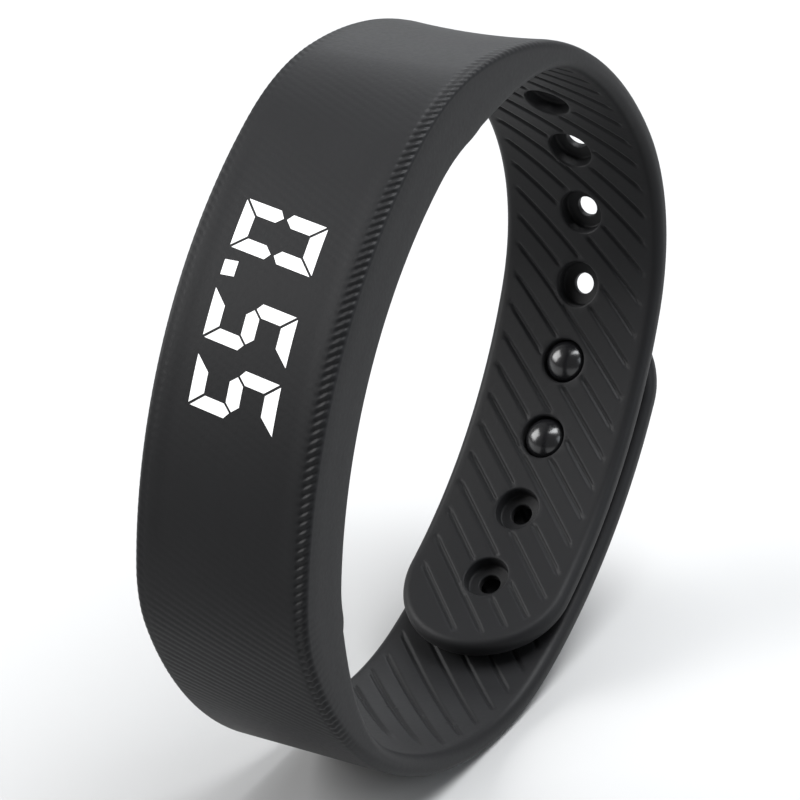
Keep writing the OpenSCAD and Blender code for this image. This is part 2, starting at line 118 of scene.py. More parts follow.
def chain_of_arcs():
    """Centres and outer radii of the ten arcs, with the origin at the middle of the loop."""

    def next_centre(centre, r, r_next, h):
        return centre + (r - r_next) * out(h)

    m = MEETS
    rest = UNDER_R * step(m[2], m[4]) + LOW_R * step(m[4], m[5]) + FACE_R * step(m[5], m[6])
    rest = rest + TOP_R * step(m[6], m[7]) + OVERLAP_R * step(m[9], m[2] + 360)
    upper_r, back_r = two_radii(m[7], m[8], m[9], -rest)
    face = np.zeros(2)
    top = next_centre(face, FACE_R, TOP_R, m[6])
    upper = next_centre(top, TOP_R, upper_r, m[7])
    back = next_centre(upper, upper_r, back_r, m[8])
    overlap = next_centre(back, back_r, OVERLAP_R, m[9])
    low = next_centre(face, FACE_R, LOW_R, m[5])
    outer_r = OVERLAP_R + OUTSIDE
    turn_r, under_r = two_radii(
        m[2], m[3], m[4], low + LOW_R * out(m[4]) - overlap - outer_r * out(m[2])
    )
    under = next_centre(low, LOW_R, under_r, m[4])
    turn = next_centre(under, under_r, turn_r, m[3])
    outer = next_centre(turn, turn_r, outer_r, m[2])
    tip = next_centre(outer, OVERLAP_R, back_r, m[1])
    middle = np.array([
        (low[0] - LOW_R + back[0] + back_r) / 2,
        (upper[1] + upper_r + turn[1] - turn_r) / 2,
    ])
    centres = np.array([tip, outer, turn, under, low, face, top, upper, back, overlap]) - middle
    radii = [back_r + OUTSIDE, outer_r, turn_r, under_r, LOW_R, FACE_R, TOP_R, upper_r, back_r]
    return centres, np.array(radii + [OVERLAP_R])


CENTRES, RADII = chain_of_arcs()
STARTS = np.concatenate([[0], np.cumsum(RADII * np.radians(np.diff(MEETS)))])


def along(h):
    """Length along the outer face from the chain's start to a heading."""
    return np.interp(h, MEETS, STARTS)


def arc_at(s):
    return np.clip(np.searchsorted(STARTS, s, side="right") - 1, 0, len(RADII) - 1)


def place(s, y, n):
    """Points s along the outer face, y across the band and n outside it, in metres."""
    arc = arc_at(s)
    turn = np.radians(np.interp(s, STARTS, MEETS))
    reach = RADII[arc] + n
    x = CENTRES[arc, 0] - reach * np.cos(turn)
    z = CENTRES[arc, 1] + reach * np.sin(turn)
    return np.stack(np.broadcast_arrays(x, y, z), axis=-1) * MM


def ramp(x, low, high):
    """0 at low, 1 at high and smooth between them; low may be the larger."""
    t = np.clip((x - low) / (high - low), 0, 1)
    return t * t * (3 - 2 * t)


# ---- Places along the band --------------------------------------------------------------------

THICK_FROM, THICK_TO = -6, 80
TAPER_LOW, TAPER_TOP = -48, 122
FIRST_HOLE, HOLE_PITCH, HOLE_COUNT = 44.7, 8.6, 8
HOLES = along(60) + FIRST_HOLE + HOLE_PITCH * np.arange(HOLE_COUNT)
HOLE_R, COUNTERBORE_R, WEB_T = 1.1, 2.3, 0.8

# The closed band's stud strap lies over the hole strap, one turn back along the chain. Its two
# studs fill the fifth and sixth holes.
FULL_TURN = 360
CLASP_S = (HOLES[4] + HOLES[5]) / 2
CLASP_HEADING = np.interp(CLASP_S, STARTS, MEETS)
STUD_S = along(CLASP_HEADING - FULL_TURN)
STUD_TIP_S = along(np.interp(HOLES[4] + 2, STARTS, MEETS) - FULL_TURN)


def thickness(s):
    """Thickness of the rubber: thin straps that swell into the sleeve on the display side."""
    h = np.interp(s, STARTS, MEETS)
    swell = ramp(h, TAPER_LOW, THICK_FROM) * ramp(h, TAPER_TOP, THICK_TO)
    return STRAP_T + (SLEEVE_T - STRAP_T) * swell


# ---- Moulded relief, as depths below the plain surface ----------------------------------------

RIB_PITCH, RIB_LEAN, TICK_LEAN = 0.8, 0.45, 0.6
RIB_FROM, RIB_TO = along(-38), along(112)
FINE_DEPTH, LOW_FINE_DEPTH = 0.008, 0.026
TICK_DEPTH, FAR_TICK_DEPTH = 0.15, 0.03
DISPLAY_DROP, DISPLAY_HALF_W = 0.04, 7.4
DISH_DEPTH = 0.34


def outer_depth(s, v):
    """Fine ribs across the sleeve's face, slanting ticks beside its edges, a shallow drop at
    the display, and the slight hollow that a strap gets where it is bent over or under. v is
    the distance from the middle line, measured round the edge's rounding."""

    def waves(phase):
        return 0.5 + 0.5 * np.cos(2 * np.pi * phase / RIB_PITCH)

    groove = waves(s - RIB_LEAN * v) ** 1.5
    stroke = waves(s - TICK_LEAN * np.abs(v)) ** 1.2
    span = ramp(s, RIB_FROM, RIB_FROM + 8) * ramp(s, RIB_TO, RIB_TO - 20)
    face_only = ramp(s, along(88), along(62))
    fine = (FINE_DEPTH + LOW_FINE_DEPTH * ramp(s, along(10), along(-12))) * face_only
    out_of_edge = HALF_W - np.abs(v)
    edge = ramp(out_of_edge, 1.34, 0.95) * ramp(out_of_edge, -0.15, 0.2)
    ticks = np.where(v < 0, TICK_DEPTH, FAR_TICK_DEPTH) * edge
    display = ramp(s, along(11), along(15)) * ramp(s, along(59), along(55))
    flat = ramp(np.abs(v), DISPLAY_HALF_W, DISPLAY_HALF_W - 1.2)
    h = np.interp(s, STARTS, MEETS)
    bent = ramp(h, 84, 104) * ramp(h, 134, 116) + ramp(h, -50, -68) * ramp(h, -100, -84)
    dish = DISH_DEPTH * bent * np.clip(1 - (v / FLAT_W) ** 2, 0, 1)
    return span * (groove * fine + stroke * ticks) + DISPLAY_DROP * display * flat + dish


GROOVE_PITCH, GROOVE_HALF, GROOVE_DEPTH = 3.45, 0.36, 0.22
GROOVE_AT = 250.88  # where one of the grooves crosses the middle line
DIAGONAL = math.sqrt(2)


def inner_depth(s, y):
    """Slanting grooves on the wrist side of the straps, stopping short of edges and holes."""
    across = (s + y - GROOVE_AT) / GROOVE_PITCH
    distance = np.abs(across - np.round(across)) * GROOVE_PITCH / DIAGONAL
    groove = ramp(distance, GROOVE_HALF, 0.06)
    h = np.interp(s, STARTS, MEETS)
    straps = np.maximum(ramp(h, -66, -72), ramp(h, 100, 116))
    sides = ramp(y, 1.5 - HALF_W, 2.2 - HALF_W) * ramp(y, HALF_W - 1.35, HALF_W - 1.95)
    from_tip = HALF_W - np.hypot(np.maximum(s - HOLES[-1], 0), y)
    ends = ramp(from_tip, 1.5, 2.1)
    depth = GROOVE_DEPTH * groove * straps * sides * ends
    for hole in HOLES:
        depth = depth * ramp(np.hypot(s - hole, y), COUNTERBORE_R + 0.4, COUNTERBORE_R + 0.7)
    return depth


def outer_level(s, y):
    """Height of the outer face, from the plain outer surface."""
    return -outer_depth(s, y)


def inner_level(s, y):
    """Height of the wrist side, from the plain outer surface."""
    return -thickness(s) + inner_depth(s, y)


# ---- Meshes -----------------------------------------------------------------------------------


class Skin:
    """A closed rubber surface, collected as (s, y, n) points and faces of point numbers."""

    def __init__(self):
        self.points = np.zeros((0, 3))
        self.faces = []

    def add(self, s, y, n):
        """Adds points and returns their numbers in the shape of the arguments."""
        block = np.stack(np.broadcast_arrays(s, y, n), axis=-1).astype(float)
        first = len(self.points)
        self.points = np.concatenate([self.points, block.reshape(-1, 3)])
        return first + np.arange(block[..., 0].size).reshape(block.shape[:-1])

    def strip(self, rows, closed=False):
        """Quads between neighbouring rows of point numbers."""
        rows = np.asarray(rows)
        if closed:
            rows = np.concatenate([rows, rows[:, :1]], axis=1)
        quads = np.stack([rows[:-1, :-1], rows[1:, :-1], rows[1:, 1:], rows[:-1, 1:]], axis=-1)
        self.faces += quads.reshape(-1, 4).tolist()

    def fill(self, loops, filling, keep):
        """Triangles over the (s, y) plane between closed loops, through the filling points."""
        numbers = np.concatenate([*loops, filling]).astype(int)
        plane = self.points[numbers, :2]
        edges = []
        start = 0
        for loop in loops:
            size = len(loop)
            edges += [(start + i, start + (i + 1) % size) for i in range(size)]
            start += size
        made = delaunay_2d_cdt([Vector(p) for p in plane], edges, [], 0, 1e-6)
        corners = np.array([tuple(p) for p in made[0]])
        triangles = np.array(made[2])
        source = np.array([numbers[ids[0]] for ids in made[3]])
        middles = corners[triangles].mean(axis=1)
        good = keep(middles[:, 0], middles[:, 1])
        self.faces += source[triangles[good]].tolist()

    def build(self, name, corner_angle=60):
        """The finished object, with smooth shading up to corner_angle."""
        return build(name, place(*self.points.T), self.faces, corner_angle)


def build(name, points, faces, corner_angle=40):
    """A smooth-shaded mesh object from points in metres, with its faces turned outward."""
    mesh = bpy.data.meshes.new(name)
    mesh.from_pydata([tuple(p) for p in points], [], faces)
    mesh.validate()
    obj = bpy.data.objects.new(name, mesh)
    bpy.context.scene.collection.objects.link(obj)
    bpy.context.view_layer.objects.active = obj
    obj.select_set(True)
    bpy.ops.object.mode_set(mode="EDIT")
    bpy.ops.mesh.select_all(action="SELECT")
    bpy.ops.mesh.normals_make_consistent(inside=False)
    bpy.ops.object.mode_set(mode="OBJECT")
    obj.select_set(False)
    mesh.shade_smooth()
    mesh.set_sharp_from_angle(angle=math.radians(corner_angle))
    return obj


# Round the band's edge: angle from the outer face, and share of the way down the side wall.
# The first and last rings lie on the flat faces, RIM_W in from the side. The rings that cross
# the flat part of the rim are close together, so that they can carry the ticks.
CORNER_STEPS, FLAT_STEPS = 8, 6
EDGE_TURN = np.concatenate([
    np.zeros(FLAT_STEPS), np.linspace(0, 90, CORNER_STEPS), [90, 90],
    np.linspace(90, 180, CORNER_STEPS), [180],
])
EDGE_DOWN = np.concatenate([
    np.zeros(CORNER_STEPS + FLAT_STEPS), [0.33, 0.67], np.ones(CORNER_STEPS + 1)
])
SLEEVE_EDGE_R = 0.55
SEAM_STEP = 0.12
SEAM_Y = np.linspace(-FLAT_W, FLAT_W, round(2 * FLAT_W / SEAM_STEP) + 1)


def add_rim(skin, s, y, to_s, to_y):
    """The rounded edge along an outline; (to_s, to_y) points out of it. One row per ring."""
    turn = np.radians(EDGE_TURN)[:, None]
    down = EDGE_DOWN[:, None]
    swell = (thickness(s) - STRAP_T) / (SLEEVE_T - STRAP_T)
    r = STRAP_EDGE_R + (SLEEVE_EDGE_R - STRAP_EDGE_R) * swell
    inset = r * (1 - np.sin(turn))
    across = np.arange(FLAT_STEPS)[:, None] / FLAT_STEPS
    inset[:FLAT_STEPS] = RIM_W + (r - RIM_W) * across
    inset[-1] = RIM_W
    base = -r * (1 - down) - (thickness(s) - r) * down
    rows_s, rows_y = s - inset * to_s, y - inset * to_y
    v = (HALF_W - inset + r * (turn - np.sin(turn))) * np.sign(to_y)
    depth = np.where(turn < np.pi / 2, outer_depth(rows_s, v), 0) * np.abs(to_y)
    rows_s = rows_s - depth * np.sin(turn) * to_s
    rows_y = rows_y - depth * np.sin(turn) * to_y
    return skin.add(rows_s, rows_y, base + (r - depth) * np.cos(turn))


def side_steps(first, last):
    """Distances along a side: fine where ribs cross the edge, coarser elsewhere."""
    fine, coarse = RIB_PITCH / 8, 0.35
    marks = [first]
    while marks[-1] < last - 1e-6:
        s = marks[-1]
        room = fine if RIB_FROM - 1 < s < RIB_TO + 1 else coarse
        marks.append(min(s + room, last))
    if marks[-1] - marks[-2] < fine / 2:
        del marks[-2]
    return np.array(marks)


def outline(first, last, tip):
    """The piece's open stretches of rim, in order, each as (s, y, out_s, out_y)."""

    def side(marks, sign):
        zero = np.zeros_like(marks)
        return np.stack([marks, zero + sign * HALF_W, zero, zero + sign])

    def arc(centre, start):
        a = np.radians(start + np.linspace(0, 180, 97)[1:-1])
        return np.stack([centre + HALF_W * np.cos(a), HALF_W * np.sin(a), np.cos(a), np.sin(a)])

    marks = side_steps(first, last)
    near, far = side(marks, -1), side(marks[::-1], 1)
    if tip == "last":
        return [np.concatenate([near, arc(last, -90), far], axis=1)]
    if tip == "first":
        return [np.concatenate([far, arc(first, 90), near], axis=1)]
    return [near, far]


def lattice(first, last):
    """Points for the outer face: rows that follow the ribs, and a plain weave elsewhere."""
    weave_s, weave_y = np.meshgrid(np.arange(first, last, 0.7), np.arange(-FLAT_W, FLAT_W, 0.7))
    weave_s = weave_s + 0.35 * (np.round(weave_y / 0.7) % 2)
    plain = (weave_s < RIB_FROM - 0.3) | (weave_s > RIB_TO + 0.3)
    rib_s, rib_y = np.meshgrid(
        np.arange(RIB_FROM - 6, RIB_TO + 6, RIB_PITCH / 8), np.linspace(-FLAT_W, FLAT_W, 37)[1:-1]
    )
    rib_s = rib_s + RIB_LEAN * rib_y
    ribbed = (rib_s > RIB_FROM) & (rib_s < RIB_TO)
    s = np.concatenate([weave_s[plain], rib_s[ribbed]])
    y = np.concatenate([weave_y[plain], rib_y[ribbed]])
    return s, y


def groove_lattice():
    """Points for the inner face: rows that follow the grooves, close together inside them."""
    half = np.array([0.07, 0.14, 0.21, 0.29, 0.4, 0.6, 0.9])
    offsets = np.concatenate([-half, [0], half, [GROOVE_PITCH / DIAGONAL / 2]])
    count = int(np.ceil(STARTS[-1] / GROOVE_PITCH)) + 12
    lines = GROOVE_AT + GROOVE_PITCH * (np.arange(count) - count + 12)
    p = (lines[:, None] / DIAGONAL + offsets).ravel()
    q = np.arange(-12, STARTS[-1] + 12, 0.7 * DIAGONAL) / DIAGONAL
    p, q = np.meshgrid(p, q)
    return ((p + q) / DIAGONAL).ravel(), ((p - q) / DIAGONAL).ravel()


def bore_spot(centre, x, y, n):
    """(s, y) of a point x along a flat tool that stands square on the band at centre."""
    r = RADII[arc_at(centre)]
    return centre + r * np.arcsin(x / (r + n)), y


def circle(r, count=64):
    a = np.linspace(0, 2 * np.pi, count, endpoint=False)
    return r * np.cos(a), r * np.sin(a)


def rounded_box(length, width, r, count=14):
    """Outline of a rounded rectangle; equal counts keep two of them in step."""
    x, y = [], []
    for k, (sx, sy) in enumerate([(1, 1), (-1, 1), (-1, -1), (1, -1)]):
        a = np.radians(90 * k + np.linspace(0, 90, count))
        x.append(sx * (length / 2 - r) + r * np.cos(a))
        y.append(sy * (width / 2 - r) + r * np.sin(a))
    x, y = np.concatenate(x), np.concatenate(y)
    # long straight runs are divided, so that they follow the band's curve
    fine_x, fine_y = [], []
    for i in range(len(x)):
        j = (i + 1) % len(x)
        parts = 24 if i % count == count - 1 else 1
        t = np.arange(parts) / parts
        fine_x.append(x[i] + (x[j] - x[i]) * t)
        fine_y.append(y[i] + (y[j] - y[i]) * t)
    return np.concatenate(fine_x), np.concatenate(fine_y)


def stadium(length, width):
    """Outline of a box with round ends."""
    return rounded_box(length, width, width / 2 - 1e-3)


def soft_mouth(r, n, size, angles):
    """Profile points (r, n) of a hole's rounded mouth; a negative size rounds downward."""
    return [(r + abs(size) * (1 - math.sin(a)), n + size * (1 - math.cos(a)))
            for a in np.radians(angles)]


class Opening:
    """Something cut into a face: its loop on that face and a test for points outside it."""

    def __init__(self, loop, centre, half_l, half_w, r, stretch=1.0):
        self.loop, self.centre, self.stretch = loop, centre, stretch
        self.half_l, self.half_w, self.r = half_l, half_w, r

    def distance(self, s, y):
        """Distance outside the opening's rounded outline; negative inside it. Lengths inside
        the curve count for more on the outer face, and `stretch` says how much more."""
        dx = np.abs(s - self.centre) / self.stretch - (self.half_l - self.r)
        dy = np.abs(y) - (self.half_w - self.r)
        outside = np.hypot(np.maximum(dx, 0), np.maximum(dy, 0))
        return outside + np.minimum(np.maximum(dx, dy), 0) - self.r


def strap_hole(skin, centre):
    """A stepped hole: a wide counterbore on the wrist side and a narrow hole through the web.
    Returns its openings in the outer and in the inner face."""
    lead, small = 0.2, 0.15
    profile = soft_mouth(COUNTERBORE_R, -STRAP_T, lead, [0, 22, 45, 68, 90])
    profile += [
        (COUNTERBORE_R, -WEB_T - 0.25),
        (COUNTERBORE_R - 0.07, -WEB_T - 0.07),
        (COUNTERBORE_R - 0.25, -WEB_T),
    ]
    profile += soft_mouth(HOLE_R, -WEB_T, small, [0, 30, 60, 90])
    profile += soft_mouth(HOLE_R, 0, -small, [90, 60, 30, 0])
    rows = []
    for r, n in profile:
        x, y = circle(r)
        rows.append(skin.add(*bore_spot(centre, x, y, n), n))
    skin.strip(rows, closed=True)
    wide, narrow = COUNTERBORE_R + lead, HOLE_R + small
    r = RADII[arc_at(centre)]
    inner = Opening(rows[0], centre, wide, wide, wide, r / (r - STRAP_T))
    outer = Opening(rows[-1], centre, narrow, narrow, narrow)
    return [outer], [inner]


# The capsule's pocket in the sleeve: length, width and corner radius of its walls and its mouth
POCKET = (36.0, 14.5, 2.5)
MOUTH = (33.7, 12.2, 1.35)
POCKET_SKIN, LIP_T = 1.1, 0.85
FACE_MIDDLE = along(35)


def capsule_pocket(skin):
    """The pocket behind the display, with a lip round its mouth that holds the capsule in.
    Returns its openings in the outer face, where it has none, and in the inner face."""
    lead = 0.25
    length, width, corner = MOUTH
    rows = []
    for wider, n in soft_mouth(0, -SLEEVE_T, lead, [0, 22, 45, 68, 90]):
        x, y = rounded_box(length + 2 * wider, width + 2 * wider, corner + wider)
        rows.append(skin.add(*bore_spot(FACE_MIDDLE, x, y, n), n))
    lip_n = -SLEEVE_T + LIP_T
    for outline_size, n in [(MOUTH, lip_n), (POCKET, lip_n), (POCKET, -POCKET_SKIN)]:
        rows.append(skin.add(*bore_spot(FACE_MIDDLE, *rounded_box(*outline_size), n), n))
    skin.strip(rows, closed=True)
    s, y = np.meshgrid(np.arange(-19, 19.1, 1.2), np.arange(-7, 7.1, 1.2))
    s = s + FACE_MIDDLE
    floor_r = FACE_R - POCKET_SKIN
    half = FACE_R * math.asin(POCKET[0] / 2 / floor_r)
    floor = Opening(rows[-1], FACE_MIDDLE, half, POCKET[1] / 2, POCKET[2])
    inside = floor.distance(s, y) < -0.4
    filling = skin.add(s[inside], y[inside], -POCKET_SKIN)
    skin.fill([rows[-1]], filling, lambda s, y: floor.distance(s, y) < 0)
    half = FACE_R * math.asin((length / 2 + lead) / (FACE_R - SLEEVE_T))
    return [], [Opening(rows[0], FACE_MIDDLE, half, width / 2 + lead, corner + lead)]


# The clasp plate's bed in the stud strap's outer face. The plate is flat and the strap curves,
# so its depth is told from the plane that touches the hole strap at the clasp.
PLATE_L, PLATE_W, PLATE_T = 17.5, 7.4, 1.1
PLATE_BOTTOM = OUTSIDE - 1.15


def plate_bed(skin):
    """A flat-bottomed bed for the clasp plate, with a softly rounded lip. Returns its openings
    in the outer face and in the inner face, where it has none."""
    lead, gap = 0.2, 0.05
    r = RADII[arc_at(STUD_S)]
    rows = []

    def outline_of(wider):
        return stadium(PLATE_L + 2 * (gap + wider), PLATE_W + 2 * (gap + wider))

    for wider, n in soft_mouth(0, 0, -lead, [0, 30, 60, 90]):
        x, y = outline_of(wider)
        rows.append(skin.add(*bore_spot(STUD_S, x, y, n), n))
    height = r - OUTSIDE + PLATE_BOTTOM - 0.03
    for wider in (0, -0.3):
        x, y = outline_of(wider)
        n = np.hypot(x, height) - r
        rows.append(skin.add(STUD_S + r * np.arctan2(x, height), y, n))
    skin.strip(rows, closed=True)
    floor = Opening(rows[-1], STUD_S, PLATE_L / 2 + 1, PLATE_W / 2 + 1, 0.5)
    x, y = np.meshgrid(np.arange(-8, 8.1, 1.3), np.arange(-2.4, 2.5, 1.2))
    bed = Opening(None, 0, PLATE_L / 2 - 0.25, PLATE_W / 2 - 0.25, PLATE_W / 2 - 0.25)
    inside = bed.distance(x, y) < -0.5
    x, y = x[inside], y[inside]
    filling = skin.add(STUD_S + r * np.arctan2(x, height), y, np.hypot(x, height) - r)
    skin.fill([rows[-1]], filling, lambda s, y: floor.distance(s, y) < 0)
    half_l = PLATE_L / 2 + gap + lead
    half_w = PLATE_W / 2 + gap + lead
    return [Opening(rows[0], STUD_S, r * math.asin(half_l / r), half_w, half_w - 1e-3)], []


CLEAR_OF_EDGE, CLEAR_OF_SEAM = 0.13, 0.1


def close_seam(skin, rim, following):
    """The flat cap between the end of one rim and the start of the next. Returns its outer
    and inner rows."""
    s, rim_y = skin.points[rim[0, -1], :2]
    y = SEAM_Y[1:-1] * -np.sign(rim_y)
    outer_row = skin.add(s, y, outer_level(s, y))
    inner_row = skin.add(s, y, inner_level(s, y))
    skin.strip([
        np.concatenate([rim[0, -1:], outer_row, following[0, :1]]),
        np.concatenate([rim[-1, -1:], inner_row, following[-1, :1]]),
    ])
    skin.faces += [rim[:, -1].tolist(), following[:, 0].tolist()]
    return outer_row, inner_row


def rubber_piece(name, first, last, tip=None, cuts=()):
    """One stretch of the band, from s = first to last, closed by a cap or a round tip. The
    cuts are functions that cut the skin and return the openings in its outer and inner face."""
    skin = Skin()
    rims = [add_rim(skin, *stretch) for stretch in outline(first, last, tip)]
    outer_loop, inner_loop = [], []
    for rim, following in zip(rims, rims[1:] + rims[:1]):
        outer_row, inner_row = close_seam(skin, rim, following)
        outer_loop += [rim[0], outer_row]
        inner_loop += [rim[-1], inner_row]
        skin.strip(rim)
    outer_openings, inner_openings = [], []
    for cut in cuts:
        outer, inner = cut(skin)
        outer_openings += outer
        inner_openings += inner

    def inset(s, y):
        """Distance inside the flat part of the face."""
        d = FLAT_W - np.abs(y)
        if tip == "last":
            return np.minimum(d, FLAT_W - np.hypot(np.maximum(s - last, 0), y))
        if tip == "first":
            return np.minimum(d, FLAT_W - np.hypot(np.maximum(first - s, 0), y))
        return d

    def cover(points, level, loop, openings):
        """Triangles over one face, through those points that are clear of its edges."""

        def clear(s, y, margin=0, seam_margin=0):
            good = inset(s, y) > margin
            if tip != "last":
                good &= s < last - seam_margin
            if tip != "first":
                good &= s > first + seam_margin
            for opening in openings:
                good &= opening.distance(s, y) > margin
            return good

        s, y = points
        good = clear(s, y, CLEAR_OF_EDGE, CLEAR_OF_SEAM)
        s, y = s[good], y[good]
        filling = skin.add(s, y, level(s, y))
        loops = [np.concatenate(loop)] + [opening.loop for opening in openings]
        skin.fill(loops, filling, clear)

    cover(lattice(first - HALF_W, last + HALF_W), outer_level, outer_loop, outer_openings)
    cover(groove_lattice(), inner_level, inner_loop, inner_openings)
    return skin.build(name)


# ---- Materials --------------------------------------------------------------------------------


def material(slot, colour, rough, grain, mottle=0.12, bump=0.0, rough_range=0.06, **sockets):
    """A moulded or pressed surface: colour mottled and roughness varied over `grain` metres,
    with a finer bump of that height in metres. Other values go straight onto the shader."""
    mat = bpy.data.materials.new(slot)
    mat.use_nodes = True
    nodes, links = mat.node_tree.nodes, mat.node_tree.links
    shader = nodes["Principled BSDF"]
    for socket, value in sockets.items():
        shader.inputs[socket.replace("_", " ")].default_value = value
    place_in = nodes.new("ShaderNodeTexCoord").outputs["Object"]

    def noise(scale, detail):
        made = nodes.new("ShaderNodeTexNoise")
        made.inputs["Scale"].default_value = scale
        made.inputs["Detail"].default_value = detail
        links.new(place_in, made.inputs["Vector"])
        return made.outputs["Fac"]

    coarse, fine = noise(1 / grain, 4.0), noise(14 / grain, 2.0)
    tint = nodes.new("ShaderNodeMix")
    tint.data_type = "RGBA"
    tint.inputs["A"].default_value = [c * (1 - mottle) for c in colour] + [1]
    tint.inputs["B"].default_value = [min(1, c * (1 + mottle)) for c in colour] + [1]
    links.new(coarse, tint.inputs["Factor"])
    links.new(tint.outputs["Result"], shader.inputs["Base Color"])
    spread = nodes.new("ShaderNodeMapRange")
    spread.inputs["To Min"].default_value = max(0.0, rough - rough_range)
    spread.inputs["To Max"].default_value = rough + rough_range
    links.new(fine, spread.inputs["Value"])
    links.new(spread.outputs["Result"], shader.inputs["Roughness"])
    if bump:
        height = nodes.new("ShaderNodeBump")
        height.inputs["Strength"].default_value = 1.0
        height.inputs["Distance"].default_value = bump
        links.new(fine, height.inputs["Height"])
        links.new(height.outputs["Normal"], shader.inputs["Normal"])
    return mat


MATERIALS = {
    "band_rubber": material(
        "band_rubber", (0.0098, 0.0099, 0.0107), 0.5, 0.006, bump=0.000012,
        Specular_IOR_Level=0.15, Sheen_Weight=0.03, Sheen_Roughness=0.5,
    ),
    "clasp_plastic": material(
        "clasp_plastic", (0.02, 0.02, 0.021), 0.34, 0.004, bump=0.000004, Coat_Weight=0.15
    ),
    "stud_gloss": material(
        "stud_gloss", (0.008, 0.008, 0.009), 0.24, 0.003, rough_range=0.05, Coat_Weight=0.35,
        Coat_Roughness=0.2,
    ),
    "case_plastic": material("case_plastic", (0.02, 0.02, 0.021), 0.42, 0.003, bump=0.00001),
    "seal_rubber": material("seal_rubber", (0.35, 0.05, 0.035), 0.6, 0.002, bump=0.000006),
    "window_smoke": material(
        "window_smoke", (0.012, 0.012, 0.014), 0.1, 0.004, rough_range=0.03, Coat_Weight=0.4
    ),
    "block_white": material(
        "block_white", (0.78, 0.78, 0.77), 0.5, 0.003, bump=0.000006, mottle=0.04
    ),
    "digit_white": material(
        "digit_white", (0.35, 0.35, 0.35), 0.4, 0.002, mottle=0.02,
        Emission_Color=(1.0, 1.0, 1.0, 1.0), Emission_Strength=0.9,
    ),
    "led_chip": material("led_chip", (0.85, 0.75, 0.3), 0.2, 0.001, Coat_Weight=0.3),
    "board_green": material("board_green", (0.015, 0.12, 0.04), 0.38, 0.0015, bump=0.000008),
    "chip_black": material("chip_black", (0.02, 0.02, 0.021), 0.5, 0.0008, bump=0.000006),
    "crystal_metal": material("crystal_metal", (0.68, 0.67, 0.64), 0.28, 0.001, Metallic=1.0),
    "capacitor_tan": material("capacitor_tan", (0.42, 0.27, 0.13), 0.45, 0.0006, bump=0.000004),
    "cell_foil": material(
        "cell_foil", (0.7, 0.71, 0.73), 0.3, 0.003, bump=0.00003, Metallic=1.0
    ),
    "tape_white": material("tape_white", (0.78, 0.77, 0.72), 0.75, 0.0015, bump=0.00002),
    "lead_insulation": material("lead_insulation", (0.45, 0.03, 0.02), 0.4, 0.001, bump=0.000004),
    "contact_gold": material("contact_gold", (0.83, 0.6, 0.24), 0.2, 0.001, Metallic=1.0),
    "switch_metal": material("switch_metal", (0.72, 0.72, 0.71), 0.25, 0.001, Metallic=1.0),
    "key_plastic": material("key_plastic", (0.05, 0.05, 0.052), 0.42, 0.001, bump=0.000006),
}

for part in frame["record"]["subparts"]:
    node = frame["nodes"][part["node"]]
    for slot in node.material_slots:
        slot.material = MATERIALS[part["material_slot"]]


def dress(obj, slot, *replaced):
    """Gives a piece its material and its slot, and hides the CAD nodes that it stands for."""
    obj.data.materials.append(MATERIALS[slot])
    if replaced:
        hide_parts(*replaced)
    return obj


# ---- The rubber band --------------------------------------------------------------------------
# Each bend is a piece of its own. The seams lie in stretches that stay rigid, where both
# neighbours have the same section.

SEAMS = {"clasp": -111, "under": -81, "low": -52, "top": 121, "strap": 135.4}
BEND_REACH = {"clasp": 6.5, "under": 6.0, "low": 7.0, "top": 4.2}
seam = {name: float(along(h)) for name, h in SEAMS.items()}
joints = {joint["name"]: joint for joint in frame["joints"]}


def bend(obj, joint_name, reach):
    """Finds the place on the strap nearest the piece's hinge and the points `reach` millimetres
    each way along it, then bakes the piece's transform; the piece itself is not blended.
    """
    joint = joints[joint_name]
    x, _, z = joint["pos_m"]
    s = np.linspace(0, STARTS[-1], 4000)
    spots = place(s, 0, 0)
    at = s[np.argmin(np.hypot(spots[:, 0] - x, spots[:, 2] - z))]
    bodies = (joint["child"], joint["parent"])
    if joint["child"] == "hole_tail":  # it comes after its parent along the band
        bodies = bodies[::-1]
    start, end = place(np.array([at - reach, at + reach]), 0, 0)
    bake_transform(obj)


def hole_cut(centre):
    return lambda skin: strap_hole(skin, centre)


clasp_end = rubber_piece("rubber_clasp_end", STUD_TIP_S, seam["clasp"], "first", [plate_bed])
dress(clasp_end, "band_rubber", "stud_strap_end")
bend(clasp_end, "strap_open_clasp", BEND_REACH["clasp"])

under_bend = rubber_piece("rubber_under_bend", seam["clasp"], seam["under"])
dress(under_bend, "band_rubber", "stud_strap_middle")
bend(under_bend, "strap_open_under", BEND_REACH["under"])

low_bend = rubber_piece("rubber_low_bend", seam["under"], seam["low"])
dress(low_bend, "band_rubber", "stud_strap_lower")
bend(low_bend, "strap_open", BEND_REACH["low"])

sleeve = rubber_piece("rubber_sleeve", seam["low"], seam["top"], cuts=[capsule_pocket])
dress(sleeve, "band_rubber", "sleeve", "pocket_lip")
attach(sleeve, "band")

top_bend = rubber_piece("rubber_top_bend", seam["top"], seam["strap"])
dress(top_bend, "band_rubber")
bend(top_bend, "hole_strap_open", BEND_REACH["top"])

hole_strap = rubber_piece(
    "rubber_hole_strap", seam["strap"], HOLES[-1], "last", [hole_cut(s) for s in HOLES]
)
dress(hole_strap, "band_rubber", "hole_strap", "strap_hole_lips")
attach(hole_strap, "hole_tail")

# ---- The clasp --------------------------------------------------------------------------------


def clasp_matrix():
    """Frame at the clasp: Z out of the hole strap's outer face, X onward along the band."""
    h = math.radians(CLASP_HEADING)
    onward = Vector((math.sin(h), 0, math.cos(h)))
    outward = Vector((-math.cos(h), 0, math.sin(h)))
    turn = Matrix((onward, (0, 1, 0), outward)).transposed().to_4x4()
    return Matrix.Translation(place(CLASP_S, 0, 0)) @ turn


